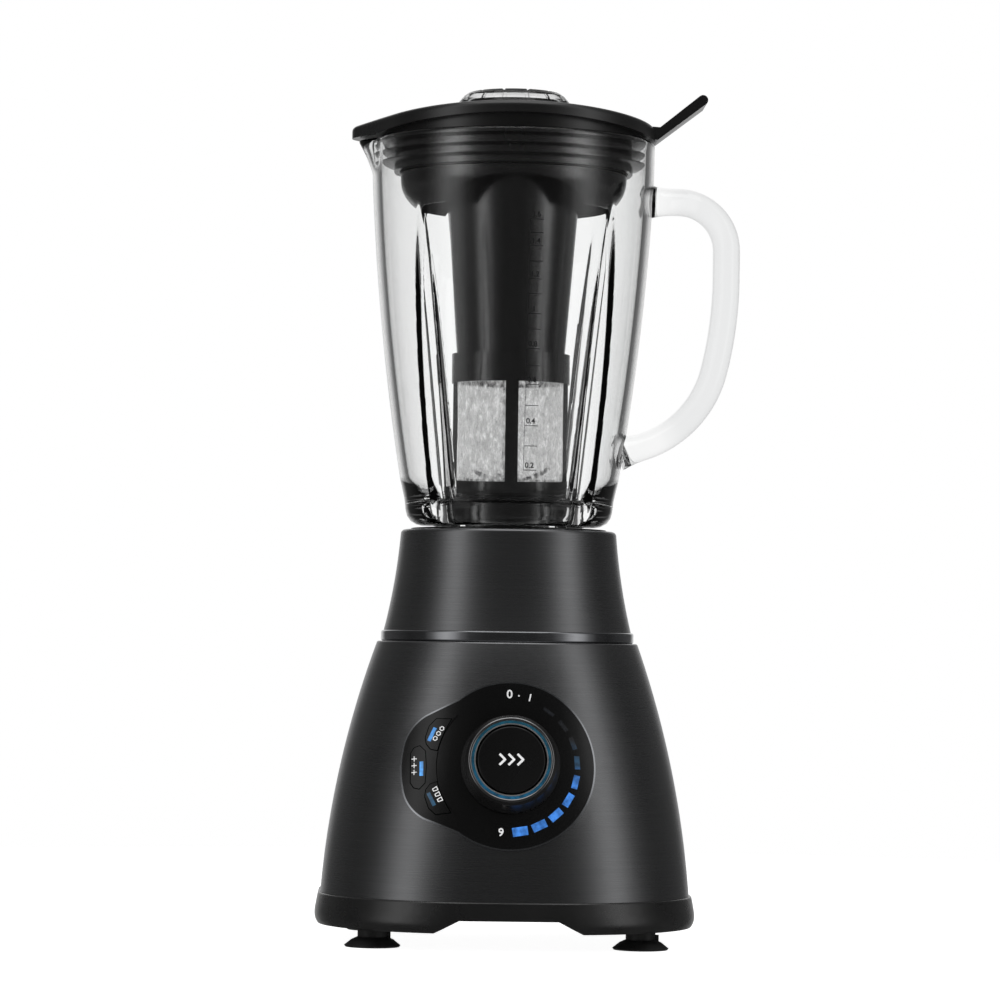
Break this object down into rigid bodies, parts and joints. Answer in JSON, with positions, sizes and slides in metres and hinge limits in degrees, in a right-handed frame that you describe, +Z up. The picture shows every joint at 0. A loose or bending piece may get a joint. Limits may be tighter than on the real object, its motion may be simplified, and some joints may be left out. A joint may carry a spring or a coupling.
{
  "type": "countertop blender",
  "caption": "Countertop blender: tapered metal-clad motor base with knob and keys, lift-off glass jug with grip and spout, blade unit, strainer insert, lid and measuring cap.",
  "frame": {"origin": "where the motor axis meets the surface that the feet stand on", "axes": "+Z up along the motor axis; -Y towards the control panel; +X towards the jug's handle"},
  "size_m": [0.2133, 0.2049, 0.4332],
  "materials": {
    "dark_brushed_metal": "dark titanium coloured, fine horizontal brushing",
    "black_textured_plastic": "fine spark-eroded texture",
    "black_satin_plastic": "smooth satin moulding",
    "black_gloss_plastic": "semi-gloss moulding",
    "black_rubber": "matt moulded rubber",
    "bright_trim": "bright plated",
    "clear_glass": "clear pressed glass",
    "clear_plastic": "clear polished plastic",
    "blue_light_guide": "lit translucent light guide",
    "steel_mesh": "fine woven stainless mesh",
    "steel_parts": "turned and ground",
    "coated_blade_steel": "dark hard coating, ground edges",
    "bronze": "sintered bronze",
    "copper_winding": "enamelled copper",
    "motor_laminations": "varnished laminations",
    "cast_bracket": "die cast",
    "circuit_board": "solder resist",
    "carbon": "pressed graphite"
  },
  "bodies": {
    "base": {"base_plinth": "black_textured_plastic", "suction_feet": "black_rubber", "lower_housing": "dark_brushed_metal", "chrome_ring": "bright_trim", "upper_housing": "dark_brushed_metal", "jug_seat": "black_satin_plastic", "drive_seal": "black_rubber", "control_fascia": "black_gloss_plastic", "panel_trim": "bright_trim", "led_segments": "blue_light_guide", "control_board": "circuit_board", "speed_encoder": "steel_parts", "motor_stator": "motor_laminations", "field_coils": "copper_winding", "upper_bracket": "cast_bracket", "lower_bracket": "cast_bracket", "upper_bearing": "steel_parts", "lower_bearing": "steel_parts", "brush_holders": "copper_winding", "carbon_brushes": "carbon", "motor_bushes": "black_rubber", "fan_duct": "black_textured_plastic", "power_board": "circuit_board", "interlock_switch": "black_satin_plastic", "cord_gland": "black_textured_plastic", "housing_screws": "steel_parts"},
    "rotor": {"motor_shaft": "steel_parts", "rotor_core": "motor_laminations", "commutator": "copper_winding", "cooling_fan": "black_satin_plastic", "drive_coupler": "black_satin_plastic"},
    "knob": {"knob_body": "black_satin_plastic", "knob_trim_ring": "bright_trim", "knob_light_ring": "blue_light_guide", "knob_inner_ring": "bright_trim"},
    "turbo": {"turbo_button": "black_satin_plastic", "turbo_spring": "steel_parts"},
    "crush_button": {"crush_key": "black_gloss_plastic", "crush_light": "blue_light_guide"},
    "clean_button": {"clean_key": "black_gloss_plastic", "clean_light": "blue_light_guide"},
    "smoothie_button": {"smoothie_key": "black_gloss_plastic", "smoothie_light": "blue_light_guide"},
    "interlock": {"interlock_plunger": "steel_parts"},
    "jug": {"glass_jug": "clear_glass", "jug_collar": "black_satin_plastic", "jug_gasket": "black_rubber", "blade_base": "black_satin_plastic", "blade_bush": "bronze"},
    "blades": {"blade_shaft": "steel_parts", "lower_blade": "coated_blade_steel", "upper_blade": "coated_blade_steel", "blade_nut": "steel_parts", "driven_coupler": "black_rubber"},
    "filter": {"filter_frame": "black_satin_plastic", "filter_mesh": "steel_mesh"},
    "lid": {"lid_cover": "black_satin_plastic", "lid_gasket": "black_rubber"},
    "cap": {"measuring_cap": "clear_plastic"}
  },
  "joints": [
    {"name": "jug_lift", "type": "slide", "parent": "base", "child": "jug", "axis": [0, 0, 1], "range_m": [0, 0.12]},
    {"name": "lid_lift", "type": "slide", "parent": "jug", "child": "lid", "axis": [0, 0, 1], "range_m": [0, 0.26]},
    {"name": "filter_lift", "type": "slide", "parent": "jug", "child": "filter", "axis": [0, 0, 1], "range_m": [0, 0.195]},
    {"name": "cap_lift", "type": "slide", "parent": "lid", "child": "cap", "axis": [0, 0, 1], "range_m": [0, 0.06]},
    {"name": "speed_knob", "type": "hinge", "parent": "base", "child": "knob", "pos_m": [0, -0.08371, 0.091], "axis": [0, 0.9759, -0.2181], "range_deg": [0, 188]},
    {"name": "turbo_press", "type": "slide", "parent": "base", "child": "turbo", "axis": [0, 0.9759, -0.2181], "range_m": [0, 0.0015], "stiffness_N_per_m": 900},
    {"name": "crush_press", "type": "slide", "parent": "base", "child": "crush_button", "axis": [0, 0.9759, -0.2181], "range_m": [0, 0.0008], "stiffness_N_per_m": 900},
    {"name": "clean_press", "type": "slide", "parent": "base", "child": "clean_button", "axis": [0, 0.9759, -0.2181], "range_m": [0, 0.0008], "stiffness_N_per_m": 900},
    {"name": "smoothie_press", "type": "slide", "parent": "base", "child": "smoothie_button", "axis": [0, 0.9759, -0.2181], "range_m": [0, 0.0008], "stiffness_N_per_m": 900},
    {"name": "motor_spin", "type": "hinge", "parent": "base", "child": "rotor", "pos_m": [0, 0, 0.1], "axis": [0, 0, 1], "continuous": true},
    {"name": "blade_spin", "type": "hinge", "parent": "jug", "child": "blades", "pos_m": [0, 0, 0.2], "axis": [0, 0, 1], "continuous": true},
    {"name": "interlock_rise", "type": "slide", "parent": "base", "child": "interlock", "axis": [0, 0, 1], "range_m": [0, 0.004]}
  ],
  "couplings": [
    {"joint": "filter_lift", "follows": "lid_lift", "ratio": 0.75},
    {"joint": "blade_spin", "follows": "motor_spin", "ratio": 1},
    {"joint": "interlock_rise", "follows": "jug_lift", "ratio": 0.0333}
  ]
}
